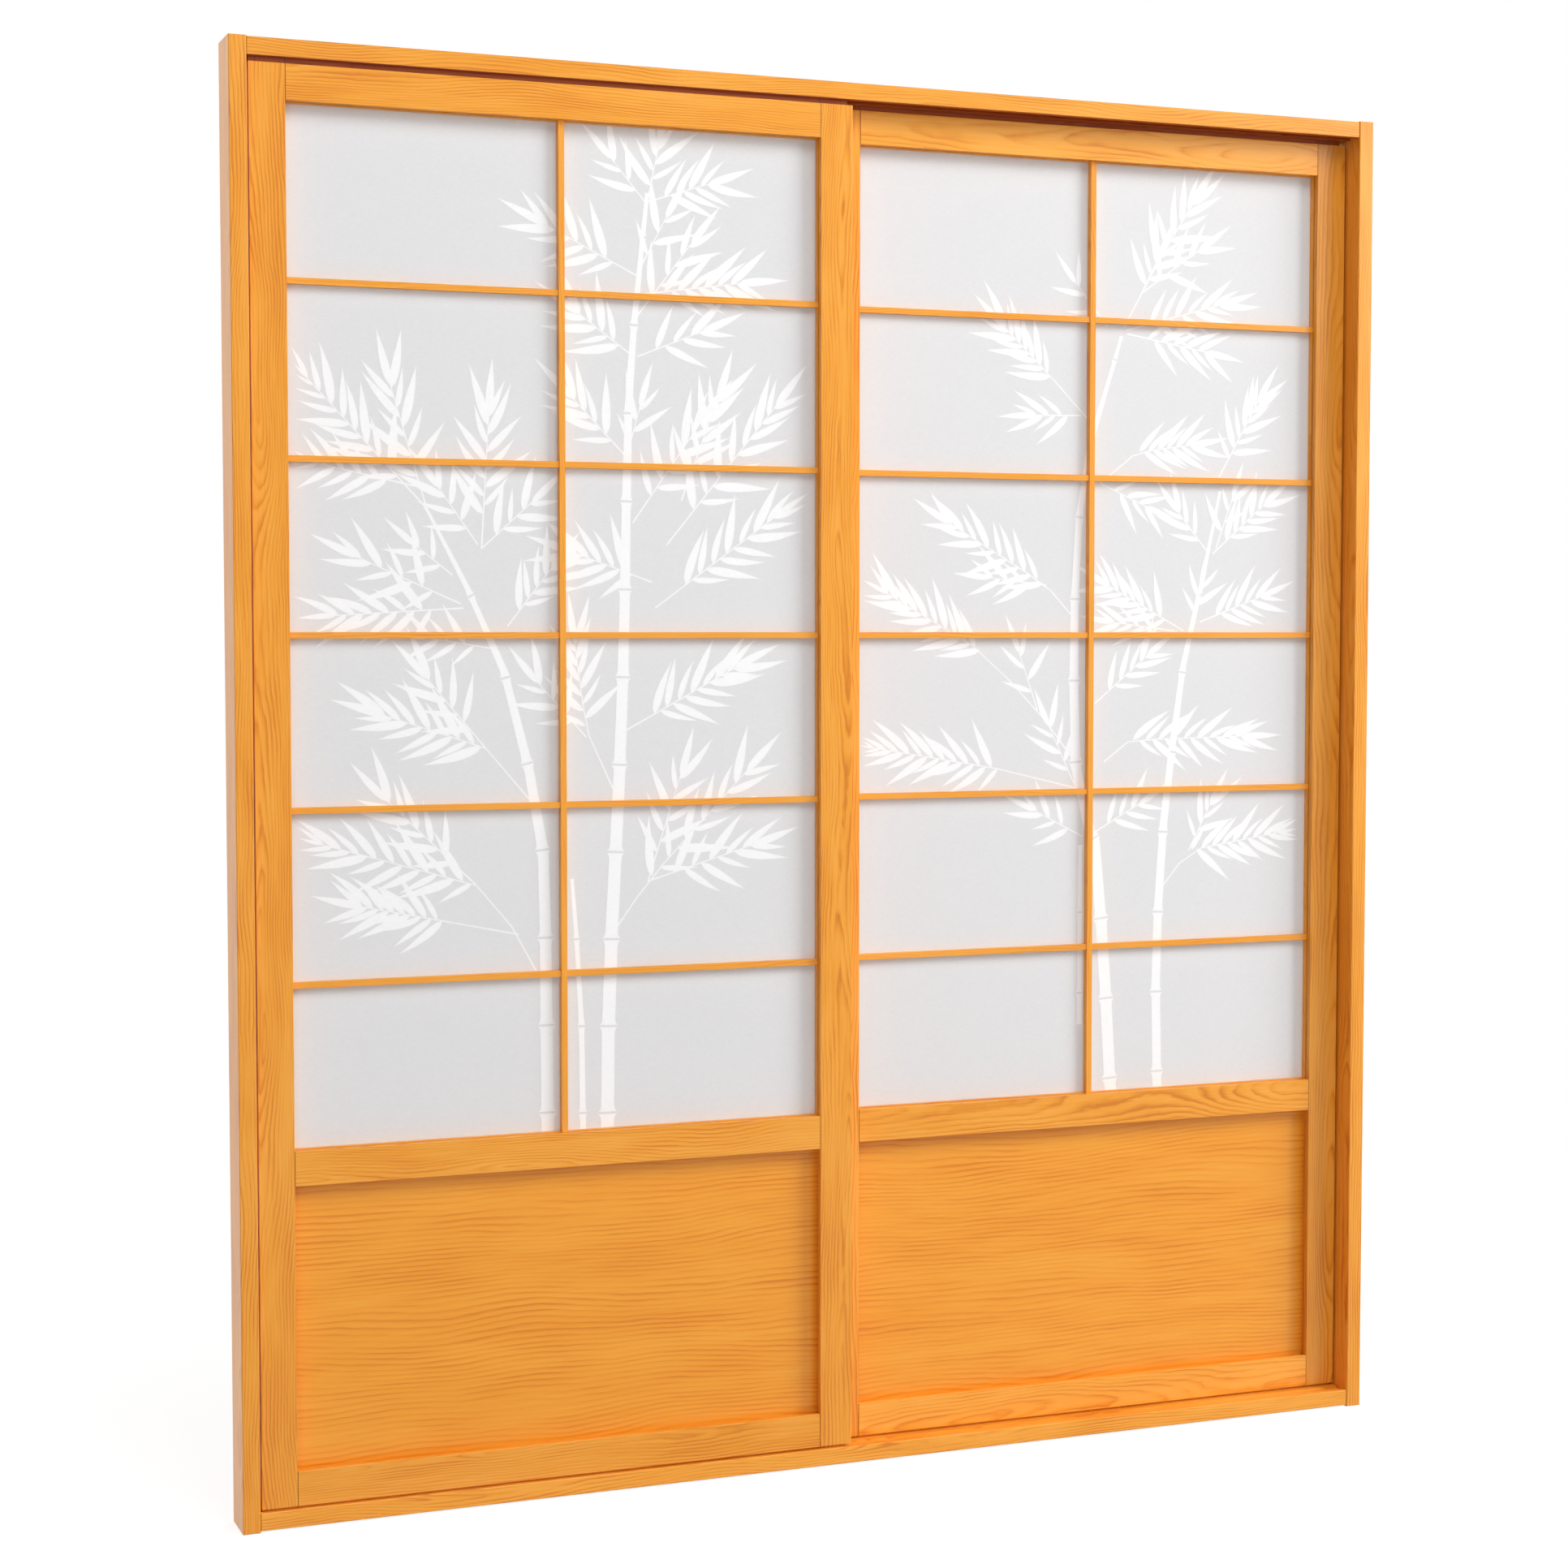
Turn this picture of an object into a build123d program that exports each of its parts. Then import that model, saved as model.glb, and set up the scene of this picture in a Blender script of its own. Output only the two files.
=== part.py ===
from build123d import *
import os
from math import atan2, cos, degrees, hypot, radians, sin

# Pair of shoji doors on two tracks in a wooden frame, all sizes in millimetres.
# X runs along the frame, Y from its front to its back, Z up.
# The origin is the middle of the frame's footprint, at the foot of the jambs.

# Frame
FRAME_WIDTH = 1829.0  # outside to outside of the jambs
FRAME_HEIGHT = 2078.0  # length of a jamb
FRAME_DEPTH = 72.0  # front to back of a jamb
JAMB = 25.0  # thickness of a jamb
HEADER = 25.0  # thickness of the header board
SILL = 25.0  # thickness of the sill board
HEADER_DROP = 1.0  # top of the header below the jambs' ends
SILL_LIFT = 2.4  # underside of the sill above the jambs' feet
BOARD_SETBACK = 1.0  # header and sill behind the jambs' faces, front and back
ARRIS = 1.0  # eased edges of the frame's boards

# Two tracks
TRACK_PITCH = 32.0  # front track to rear track
GROOVE = 18.0  # width of a groove in the header and the sill
HEADER_GROOVE_DEPTH = 15.0
SILL_GROOVE_DEPTH = 3.0
TONGUE_CLEARANCE = 1.0  # each side of a tongue in its groove
GLIDE_CLEARANCE = 0.3  # under the bottom tongue
TOP_ENGAGEMENT = 8.0  # how far the top tongue stands in the header
TOP_GAP = 7.5  # header's underside to the door's top shoulder
BOTTOM_GAP = 3.4  # sill to the door's bottom shoulder
LEFT_INSET = 1.0  # left end of a tongue in from the door's edge
RIGHT_INSET = 7.0  # right end of a tongue in from the door's edge
TONGUE_SHOULDER = 6.0  # door's face to the front of the tongue

# Screws that fix the header, sunk in the roof of its front groove
SCREW_HOLE = 4.5
SCREW_SINK = 9.0  # diameter of the countersink
SCREW_SPACING = 500.0
SCREW_COUNT = 4

# Dowels at the frame's corners
DOWEL = 6.0
DOWEL_LENGTH = 36.0
DOWEL_SPACING = 60.0  # front dowel to back dowel
DOWEL_FIT = 0.1  # between a dowel and its hole

# Doors
DOOR_OVERLAP = 25.0  # front door over the rear door, as the pair stands
DOOR_DEPTH = 29.0
SIDE_GAP = 3.0  # a door's edge to its jamb, as the pair stands
STILE = 50.8
TOP_RAIL = 50.0
MID_RAIL = 50.0
BOTTOM_RAIL = 50.0
KICK_HEIGHT = 405.0  # bottom rail to mid rail
EDGE = 0.5  # eased edges of a door's members

# Tenons on the rails
TENON_DEPTH = 10.0
TENON_HEIGHT = 30.0
TENON_LENGTH = 32.0
TENON_FIT = 0.1
MORTISE_SPARE = 0.8  # beyond a tenon's end

# Stepped rebate round each opening, open to the back
LIP = 8.5  # wood in front of the rebate
LATTICE_STEP = 4.5  # how far the first step goes into a stile or rail
PANEL_STEP = 9.0  # how far the second step goes
PANEL_FACE = 20.0  # door's face to the front of the paper and the kick panel

# Lattice
BAR = 8.8  # width of a lattice bar
CROSS_BARS = 5
TOP_LIGHT = 240.2  # top rail to the first cross bar
BOTTOM_LIGHT = 228.0  # last cross bar to the mid rail
UPRIGHT_SETBACK = 0.2  # upright behind the lip
CROSS_SETBACK = 2.0  # cross bars behind the lip
BORDER_SETBACK = 3.0  # border behind the lip, which leaves a dark line
BORDER_SHOW = 1.3  # border past the edge of the stile or rail
LATTICE_FIT = 0.2  # border to the side of the rebate
LAP_FIT = 0.1  # play in a half lap

# Paper, print, kick panel and the beads behind them
PAPER = 0.8
PRINT = 0.2
KICK_PANEL = 5.5
SHEET_FIT = 0.8  # edge of the paper or the panel to the side of the rebate
BEAD_FIT = 0.2

# Bamboo print
LEAF_SLIMNESS = 0.155  # width of a leaf to its length
LEAF_SPREAD = 48.0  # degrees between the first leaves and their twig
BARE_SHARE = 0.3  # part of a straight twig that bears no leaves
TWIG = 2.4
CANE_LENGTH = 128.0  # from ring to ring
CANE_RING = 2.2  # bare ring between two lengths of a cane
CANE_FLARE = 7.0  # how far a length of cane widens towards its ring
CANE_SWELL = 1.3  # width at a ring to the width between
MERGE = 0.15  # corners nearer than this become one
BAND_FREE = 0.5  # unprinted edge inside the border
DRAWN_LIGHT = 1458.7  # height of the light that the canes and branches are placed in

# Places that follow from the sizes above
half_width = FRAME_WIDTH / 2
inner_half = half_width - JAMB
door_width = inner_half - SIDE_GAP + DOOR_OVERLAP / 2
header_top = FRAME_HEIGHT - HEADER_DROP
header_under = header_top - HEADER
groove_roof = header_under + HEADER_GROOVE_DEPTH
sill_top = SILL_LIFT + SILL
shoulder_low = sill_top + BOTTOM_GAP
shoulder_high = header_under - TOP_GAP

tongue_front = TONGUE_SHOULDER
tongue_back = TONGUE_SHOULDER + GROOVE - 2 * TONGUE_CLEARANCE
tongue_top = header_under + TOP_ENGAGEMENT
tongue_foot = sill_top - SILL_GROOVE_DEPTH + GLIDE_CLEARANCE

open_left = STILE
open_right = door_width - STILE
kick_low = shoulder_low + BOTTOM_RAIL
kick_high = kick_low + KICK_HEIGHT
light_low = kick_high + MID_RAIL
light_high = shoulder_high - TOP_RAIL
rail_spans = {
    "top": (light_high, shoulder_high),
    "mid": (kick_high, light_low),
    "bottom": (shoulder_low, kick_low),
}

lattice_back = PANEL_FACE - PRINT
upright_face = LIP + UPRIGHT_SETBACK
cross_face = LIP + CROSS_SETBACK
border_face = LIP + BORDER_SETBACK
lap_front = (border_face + lattice_back) / 2 - LAP_FIT / 2
lap_back = lap_front + LAP_FIT
border_out = LATTICE_STEP - LATTICE_FIT
upright_x = door_width / 2
highest_bar = light_high - TOP_LIGHT - BAR / 2
lowest_bar = light_low + BOTTOM_LIGHT + BAR / 2
bar_drop = (highest_bar - lowest_bar) / (CROSS_BARS - 1)
bar_heights = [highest_bar - i * bar_drop for i in range(CROSS_BARS)]
print_stretch = (light_high - light_low) / DRAWN_LIGHT


def block(x0, x1, y0, y1, z0, z1):
    """A rectangular block between two corners."""
    corner = (Align.MIN, Align.MIN, Align.MIN)
    return Pos(x0, y0, z0) * Box(x1 - x0, y1 - y0, z1 - z0, align=corner)


def eased(x0, x1, y0, y1, z0, z1, size):
    """A block with the edges of its front and back faces chamfered."""
    solid = block(x0, x1, y0, y1, z0, z1)
    faces = solid.faces().sort_by(Axis.Y)
    return chamfer(faces[0].edges() + faces[-1].edges(), size)


# Frame

def dowels(radius, length):
    """Rods along X at the four corners, half in a jamb and half in a board."""
    rods = []
    for x in (-inner_half, inner_half):
        for y in (-DOWEL_SPACING / 2, DOWEL_SPACING / 2):
            for z in (header_top - HEADER / 2, SILL_LIFT + SILL / 2):
                rods.append(Pos(x, y, z) * Rot(0, 90, 0) * Cylinder(radius, length))
    return rods


def drilled(board):
    """A frame board with the dowel holes that fall in it."""
    return board - dowels(DOWEL / 2 + DOWEL_FIT, DOWEL_LENGTH + 2 * DOWEL_FIT)


def jamb(side):
    low, high = sorted((side * half_width, side * inner_half))
    return drilled(eased(low, high, -FRAME_DEPTH / 2, FRAME_DEPTH / 2, 0, FRAME_HEIGHT, ARRIS))


def cross_board(z0, z1):
    """A board between the jambs."""
    back = FRAME_DEPTH / 2 - BOARD_SETBACK
    return drilled(eased(-inner_half, inner_half, -back, back, z0, z1, ARRIS))


def track_grooves(z0, z1):
    """Both track grooves, from end to end."""
    cuts = []
    for y in (-TRACK_PITCH / 2, TRACK_PITCH / 2):
        cuts.append(block(-half_width, half_width, y - GROOVE / 2, y + GROOVE / 2, z0, z1))
    return cuts


def header():
    board = cross_board(header_under, header_top) - track_grooves(header_under - 1, groove_roof)
    sink_depth = (SCREW_SINK - SCREW_HOLE) / 2
    hole = Cylinder(SCREW_HOLE / 2, 4 * HEADER)
    sink = Pos(0, 0, sink_depth / 2) * Cone(SCREW_SINK / 2, SCREW_HOLE / 2, sink_depth)
    first = -SCREW_SPACING * (SCREW_COUNT - 1) / 2
    for i in range(SCREW_COUNT):
        place = Pos(first + i * SCREW_SPACING, -TRACK_PITCH / 2, groove_roof)
        board -= place * (hole + sink)
    return board


def sill():
    return cross_board(SILL_LIFT, sill_top) - track_grooves(sill_top - SILL_GROOVE_DEPTH, sill_top + 1)


# Members of a door, in the door's own place: x from its left edge, y from its face

def rebates():
    """The stepped rebates round the light and the kick opening."""
    cuts = []
    for z0, z1 in ((light_low, light_high), (kick_low, kick_high)):
        for step, depth in ((LATTICE_STEP, LIP), (PANEL_STEP, PANEL_FACE)):
            x0, x1 = open_left - step, open_right + step
            cuts.append(block(x0, x1, depth, DOOR_DEPTH + 1, z0 - step, z1 + step))
    return cuts


def tenons(name, fit, spare):
    """The two tenons of a rail, or with play added its two mortises."""
    middle = sum(rail_spans[name]) / 2
    y0 = (DOOR_DEPTH - TENON_DEPTH) / 2 - fit
    y1 = (DOOR_DEPTH + TENON_DEPTH) / 2 + fit
    z0 = middle - TENON_HEIGHT / 2 - fit
    z1 = middle + TENON_HEIGHT / 2 + fit
    reach = TENON_LENGTH + spare
    left = block(open_left - reach, open_left, y0, y1, z0, z1)
    right = block(open_right, open_right + reach, y0, y1, z0, z1)
    return [left, right]


def stile(side):
    """A stile with its stretch of both tongues, its mortises and rebates."""
    x0, x1 = (0, STILE) if side < 0 else (open_right, door_width)
    t0, t1 = (LEFT_INSET, STILE) if side < 0 else (open_right, door_width - RIGHT_INSET)
    body = eased(x0, x1, 0, DOOR_DEPTH, shoulder_low, shoulder_high, EDGE)
    body += block(t0, t1, tongue_front, tongue_back, tongue_foot, tongue_top)
    for name in rail_spans:
        body -= tenons(name, TENON_FIT, MORTISE_SPARE)
    return body - rebates()


def rail(name):
    """A rail between the stiles with its rebates, tenons and stretch of tongue."""
    low, high = rail_spans[name]
    body = eased(open_left, open_right, 0, DOOR_DEPTH, low, high, EDGE)
    if name == "top":
        body += block(open_left, open_right, tongue_front, tongue_back, low + 1, tongue_top)
    if name == "bottom":
        body += block(open_left, open_right, tongue_front, tongue_back, tongue_foot, high - 1)
    return body - rebates() + tenons(name, 0, 0)


# Lattice, half lapped throughout

def upright():
    """The upright, over the cross bars and over the border at its ends."""
    x0, x1 = upright_x - BAR / 2, upright_x + BAR / 2
    z0, z1 = light_low - border_out, light_high + border_out
    body = block(x0, x1, upright_face, lattice_back, z0, z1)
    laps = [(z - BAR / 2 - LAP_FIT, z + BAR / 2 + LAP_FIT) for z in bar_heights]
    laps.append((z0 - 1, light_low + BORDER_SHOW + LAP_FIT))
    laps.append((light_high - BORDER_SHOW - LAP_FIT, z1 + 1))
    for low, high in laps:
        body -= block(x0 - 1, x1 + 1, lap_front, lattice_back + 1, low, high)
    return body


def cross_bar(z):
    """A cross bar, under the upright and over the border at its ends."""
    x0, x1 = open_left - border_out, open_right + border_out
    z0, z1 = z - BAR / 2, z + BAR / 2
    body = block(x0, x1, cross_face, lattice_back, z0, z1)
    u0, u1 = upright_x - BAR / 2 - LAP_FIT, upright_x + BAR / 2 + LAP_FIT
    body -= block(u0, u1, cross_face - 1, lap_back, z0 - 1, z1 + 1)
    for low, high in (
        (x0 - 1, open_left + BORDER_SHOW + LAP_FIT),
        (open_right - BORDER_SHOW - LAP_FIT, x1 + 1),
    ):
        body -= block(low, high, lap_front, lattice_back + 1, z0 - 1, z1 + 1)
    return body


def border_side(side):
    """An upright border strip, notched for the cross bars and the strips across."""
    low, high = open_left - border_out, open_left + BORDER_SHOW
    if side > 0:
        low, high = open_right - BORDER_SHOW, open_right + border_out
    z0, z1 = light_low - border_out, light_high + border_out
    body = block(low, high, border_face, lattice_back, z0, z1)
    notches = [(z - BAR / 2 - LAP_FIT, z + BAR / 2 + LAP_FIT) for z in bar_heights]
    notches.append((z0 - 1, light_low + BORDER_SHOW + LAP_FIT))
    notches.append((light_high - BORDER_SHOW - LAP_FIT, z1 + 1))
    for bottom, top in notches:
        body -= block(low - 1, high + 1, border_face - 1, lap_back, bottom, top)
    return body


def border_across(side):
    """A lying border strip, notched for the upright and lapped over the side strips."""
    low, high = light_low - border_out, light_low + BORDER_SHOW
    if side > 0:
        low, high = light_high - BORDER_SHOW, light_high + border_out
    x0, x1 = open_left - border_out, open_right + border_out
    body = block(x0, x1, border_face, lattice_back, low, high)
    u0, u1 = upright_x - BAR / 2 - LAP_FIT, upright_x + BAR / 2 + LAP_FIT
    body -= block(u0, u1, border_face - 1, lap_back, low - 1, high + 1)
    for left, right in (
        (x0 - 1, open_left + BORDER_SHOW + LAP_FIT),
        (open_right - BORDER_SHOW - LAP_FIT, x1 + 1),
    ):
        body -= block(left, right, lap_front, lattice_back + 1, low - 1, high + 1)
    return body


# Sheets and beads

def sheet(z0, z1, thickness):
    """The paper or the kick panel, against the second step of its rebate."""
    out = PANEL_STEP - SHEET_FIT
    x0, x1 = open_left - out, open_right + out
    return block(x0, x1, PANEL_FACE, PANEL_FACE + thickness, z0 - out, z1 + out)


def beads(z0, z1, face):
    """Four beads that hold a sheet from behind, flush with the door's back."""
    out = PANEL_STEP - BEAD_FIT
    x0, x1 = open_left - out, open_right + out
    return {
        "left": block(x0, open_left, face, DOOR_DEPTH, z0, z1),
        "right": block(open_right, x1, face, DOOR_DEPTH, z0, z1),
        "top": block(x0, x1, face, DOOR_DEPTH, z1, z1 + out),
        "bottom": block(x0, x1, face, DOOR_DEPTH, z0 - out, z0),
    }


# Bamboo print. Places are measured from the middle of the light's lower edge.
# A cane is a list of points up its middle, then its width at the foot and at the tip.

CANES = {
    "front": [
        (
            [(68, -27), (70, 142), (76, 294), (88, 510), (95, 682), (98, 801),
             (100, 908), (105, 1090), (117, 1218), (134, 1368)],
            20,
            6,
        ),
        (
            [(-23, -21), (-24, 147), (-26, 384), (-37, 480), (-53, 545),
             (-86, 673), (-129, 768), (-166, 851), (-202, 908)],
            19,
            4,
        ),
        ([(31, -25), (29, 155), (21, 296), (15, 372)], 9, 5),
    ],
    "rear": [
        (
            [(46, -29), (31, 219), (14, 395), (-16, 454), (-24, 582), (-25, 744),
             (-19, 882), (-7, 998), (25, 1091), (57, 1195)],
            20,
            5,
        ),
        (
            [(129, -23), (124, 203), (130, 321), (138, 439), (155, 568),
             (174, 697), (206, 815), (236, 956)],
            16,
            4,
        ),
        ([(-12, 109), (-12, 396)], 8, 6),
    ],
}

# A branch is a list of points from its cane to its tip, its pairs of leaves and their length
BRANCHES = {
    "front": [
        ([(134, 1352), (151, 1433)], 1, 70),
        ([(134, 1347), (78, 1412)], 1, 66),
        ([(134, 1352), (231, 1384)], 1, 70),
        ([(117, 1245), (-22, 1312)], 2, 74),
        ([(119, 1250), (163, 1332)], 1, 68),
        ([(120, 1218), (278, 1241)], 2, 74),
        ([(117, 1186), (203, 1297)], 1, 68),
        ([(113, 1127), (27, 1188)], 1, 74),
        ([(117, 1128), (220, 1169)], 1, 70),
        ([(100, 983), (18, 1066)], 1, 74),
        ([(100, 978), (122, 1058)], 1, 64),
        ([(110, 887), (219, 1040)], 2, 74),
        ([(144, 763), (336, 901)], 2, 76),
        ([(162, 855), (336, 1065)], 2, 76),
        ([(185, 920), (243, 1073)], 1, 72),
        ([(139, 801), (20, 843)], 2, 74),
        ([(81, 494), (38, 586), (20, 715)], 2, 68),
        ([(38, 575), (-36, 656)], 1, 66),
        ([(100, 585), (271, 676)], 2, 74),
        ([(78, 288), (132, 362), (289, 523)], 2, 74),
        ([(132, 362), (300, 412)], 2, 72),
        ([(132, 362), (184, 519)], 1, 70),
        ([(-198, 903), (-371, 1085)], 3, 76),
        ([(-198, 903), (-250, 1078)], 2, 74),
        ([(-214, 934), (-372, 967)], 2, 70),
        ([(-118, 847), (-106, 1041)], 2, 74),
        ([(-118, 847), (-41, 916)], 1, 68),
        ([(-123, 852), (-182, 935)], 1, 68),
        ([(-145, 762), (-332, 751)], 2, 72),
        ([(-149, 768), (-300, 834)], 1, 70),
        ([(-161, 809), (-215, 851)], 1, 60),
        ([(-80, 736), (-13, 821)], 1, 66),
        ([(-43, 480), (-114, 562), (-265, 611)], 2, 74),
        ([(-114, 562), (-200, 663)], 1, 70),
        ([(-102, 704), (-200, 720)], 1, 58),
        ([(-38, 234), (-66, 291), (-129, 365), (-356, 430)], 3, 74),
        ([(-129, 365), (-260, 490)], 2, 72),
        ([(-66, 291), (-175, 314), (-299, 340)], 3, 70),
    ],
    "rear": [
        ([(61, 1207), (115, 1307), (197, 1433)], 3, 68),
        ([(64, 1201), (236, 1249)], 2, 66),
        ([(109, 1278), (168, 1385)], 1, 64),
        ([(66, 1196), (210, 1172)], 2, 66),
        ([(31, 1206), (-25, 1272)], 1, 58),
        ([(-3, 1061), (-65, 1122), (-149, 1199)], 2, 68),
        ([(-14, 1066), (-97, 1064)], 1, 62),
        ([(20, 961), (85, 1011), (184, 1025)], 2, 66),
        ([(20, 961), (105, 925)], 1, 60),
        ([(233, 974), (305, 1099)], 2, 66),
        ([(213, 856), (158, 920)], 1, 62),
        ([(223, 853), (318, 934)], 2, 66),
        ([(229, 862), (259, 945)], 1, 58),
        ([(200, 744), (315, 786)], 2, 64),
        ([(187, 738), (202, 803)], 1, 58),
        ([(171, 730), (34, 802)], 2, 64),
        ([(153, 730), (41, 744)], 1, 58),
        ([(-31, 756), (-74, 801), (-242, 896)], 3, 68),
        ([(-74, 801), (-172, 812)], 1, 62),
        ([(-26, 530), (-88, 606), (-184, 698), (-347, 788)], 3, 70),
        ([(-88, 606), (-121, 698)], 1, 62),
        ([(-20, 483), (-152, 515), (-371, 552)], 4, 70),
        ([(-20, 483), (-69, 583)], 1, 62),
        ([(13, 616), (107, 692)], 1, 64),
        ([(29, 523), (75, 557), (283, 561)], 3, 68),
        ([(-9, 407), (-94, 450)], 1, 60),
        ([(14, 413), (95, 457)], 1, 62),
        ([(134, 321), (183, 379), (353, 404)], 3, 68),
        ([(183, 379), (223, 455)], 1, 62),
    ],
}


def along(path, distance):
    """The point at a distance along a line of points, and the line's direction there."""
    left = distance
    for a, b in zip(path, path[1:]):
        run = hypot(b[0] - a[0], b[1] - a[1])
        if left <= run or b == path[-1]:
            share = min(left / run, 1)
            point = (a[0] + (b[0] - a[0]) * share, a[1] + (b[1] - a[1]) * share)
            return point, degrees(atan2(b[1] - a[1], b[0] - a[0]))
        left -= run


def length_of(path):
    return sum(hypot(b[0] - a[0], b[1] - a[1]) for a, b in zip(path, path[1:]))


def leaf(root, angle, length):
    """A leaf outline: widest at a third of its length, drawn out to a point."""
    half = length * LEAF_SLIMNESS / 2
    turn = radians(angle)
    points = []
    for ahead, across in ((0, 0), (0.38, 1), (1, 0), (0.38, -1)):
        x, z = ahead * length, across * half
        points.append((root[0] + x * cos(turn) - z * sin(turn), root[1] + x * sin(turn) + z * cos(turn)))
    return points


def strip(path, width_start, width_end):
    """A tapering outline along a line of points."""
    total = length_of(path)
    left, right = [], []
    walked = 0.0
    for i, point in enumerate(path):
        if i:
            walked += hypot(point[0] - path[i - 1][0], point[1] - path[i - 1][1])
        before, after = path[max(i - 1, 0)], path[min(i + 1, len(path) - 1)]
        turn = atan2(after[1] - before[1], after[0] - before[0])
        half = (width_start + (width_end - width_start) * walked / total) / 2
        left.append((point[0] - sin(turn) * half, point[1] + cos(turn) * half))
        right.append((point[0] + sin(turn) * half, point[1] - cos(turn) * half))
    return left + right[::-1]


def cane_lengths(path, foot, tip):
    """The lengths of a cane between its rings, each flared at both ends."""
    total = length_of(path)
    shapes = []
    start = CANE_LENGTH * 0.4
    edges = [0.0]
    while start < total - CANE_FLARE * 3:
        edges.append(start)
        start += CANE_LENGTH
    edges.append(total)
    for low, high in zip(edges, edges[1:]):
        high -= CANE_RING
        spots = [low, low + CANE_FLARE, high - CANE_FLARE, high]
        widths = []
        for i, spot in enumerate(spots):
            width = foot + (tip - foot) * spot / total
            widths.append(width * CANE_SWELL if i in (0, 3) else width)
        left, right = [], []
        for spot, width in zip(spots, widths):
            (x, z), angle = along(path, spot)
            turn = radians(angle)
            left.append((x - sin(turn) * width / 2, z + cos(turn) * width / 2))
            right.append((x + sin(turn) * width / 2, z - cos(turn) * width / 2))
        shapes.append(left + right[::-1])
    return shapes


def branch_shapes(path, pairs, length):
    """A twig with pairs of leaves along its outer part and one at its tip."""
    total = length_of(path)
    shapes = [strip(path, TWIG, TWIG / 2)]
    bare = total * BARE_SHARE if len(path) == 2 else length_of(path[:-1])
    step = (total - bare) / pairs
    for i in range(pairs):
        for side in (1, -1):
            spot = bare + step * (i + (0.25 if side > 0 else 0.75))
            root, angle = along(path, spot)
            spread = LEAF_SPREAD * (1 - 0.45 * i / pairs) + 5 * sin(7.0 * i + 3 * side + length)
            size = length * (0.82 + 0.18 * sin(2.6 * i + side))
            shapes.append(leaf(root, angle + side * spread, size))
    root, angle = along(path, total - 2 * TWIG)
    shapes.append(leaf(root, angle, length * 0.9))
    return shapes


def stretched(path):
    """A line of points with its heights stretched from the drawn light to the real one."""
    return [(x, z * print_stretch) for x, z in path]


def print_outlines(which):
    """All outlines of a door's print."""
    outlines = []
    for path, foot, tip in CANES[which]:
        outlines += cane_lengths(stretched(path), foot, tip)
    for path, pairs, length in BRANCHES[which]:
        outlines += branch_shapes(stretched(path), pairs, length)
    return outlines


def corners(wire):
    """The corners of a closed wire of straight edges, in order, without any that nearly meet."""
    edges = wire.order_edges()
    points = []
    for edge, after in zip(edges, edges[1:] + edges[:1]):
        ends = [edge @ 0, edge @ 1]
        others = [after @ 0, after @ 1]
        shared = min(ends, key=lambda end: min((end - other).length for other in others))
        if not points or (shared - points[-1]).length > MERGE:
            points.append(shared)
    if (points[0] - points[-1]).length <= MERGE:
        points.pop()
    return points


def bamboo_print(which):
    """The print as one thin layer on the paper's front."""
    faces = []
    for points in print_outlines(which):
        faces.append(make_face(Polyline(*[(x + upright_x, z + light_low) for x, z in points], close=True)))
    margin = BORDER_SHOW + BAND_FREE
    middle = Pos((open_left + open_right) / 2, (light_low + light_high) / 2)
    window = middle * Rectangle(open_right - open_left - 2 * margin, light_high - light_low - 2 * margin)
    flat = faces[0].fuse(*faces[1:]).clean() & window
    front = Plane((0, PANEL_FACE, 0), x_dir=(1, 0, 0), z_dir=(0, -1, 0))
    solids = []
    for face in flat.faces():
        area = make_face(Polyline(*corners(face.outer_wire()), close=True))
        for hole in face.inner_wires():
            points = corners(hole)
            if len(points) > 2:
                area -= make_face(Polyline(*points, close=True))
        for piece in area.faces():
            solids.append(extrude(front * piece, PRINT, dir=(0, -1, 0)))
    return solids


def door_parts(which):
    """Every piece of one door, in the door's own place."""
    parts = {
        "left_stile": stile(-1),
        "right_stile": stile(1),
        "top_rail": rail("top"),
        "mid_rail": rail("mid"),
        "bottom_rail": rail("bottom"),
        "upright_bar": upright(),
        "left_border": border_side(-1),
        "right_border": border_side(1),
        "bottom_border": border_across(-1),
        "top_border": border_across(1),
        "paper": sheet(light_low, light_high, PAPER),
        "kick_panel": sheet(kick_low, kick_high, KICK_PANEL),
        "bamboo_print": bamboo_print(which),
    }
    for i, z in enumerate(bar_heights):
        parts["cross_bar_" + str(i + 1)] = cross_bar(z)
    for name, bead in beads(light_low, light_high, PANEL_FACE + PAPER).items():
        parts[name + "_paper_bead"] = bead
    for name, bead in beads(kick_low, kick_high, PANEL_FACE + KICK_PANEL).items():
        parts[name + "_kick_bead"] = bead
    return parts


def solids_of(shape):
    """A flat list of the solids in a shape or a list of shapes."""
    if isinstance(shape, list):
        found = []
        for each in shape:
            found += each.solids()
        return found
    return list(shape.solids())


parts = {
    "left_jamb": jamb(-1),
    "right_jamb": jamb(1),
    "header": header(),
    "sill": sill(),
    "corner_dowels": dowels(DOWEL / 2, DOWEL_LENGTH),
}
door_corners = {
    "front": (-inner_half + SIDE_GAP, -TRACK_PITCH / 2),
    "rear": (inner_half - SIDE_GAP - door_width, TRACK_PITCH / 2),
}
for which, (x, track) in door_corners.items():
    place = Pos(x, track - (tongue_front + tongue_back) / 2, 0)
    for name, shape in door_parts(which).items():
        parts[which + "_" + name] = [place * solid for solid in solids_of(shape)]

os.makedirs("parts", exist_ok=True)
for name, shape in parts.items():
    solids = solids_of(shape)
    whole = solids[0] if len(solids) == 1 else Compound(children=solids)
    export_step(whole, "parts/" + name + ".step")
print(len(parts), "parts")
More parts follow.
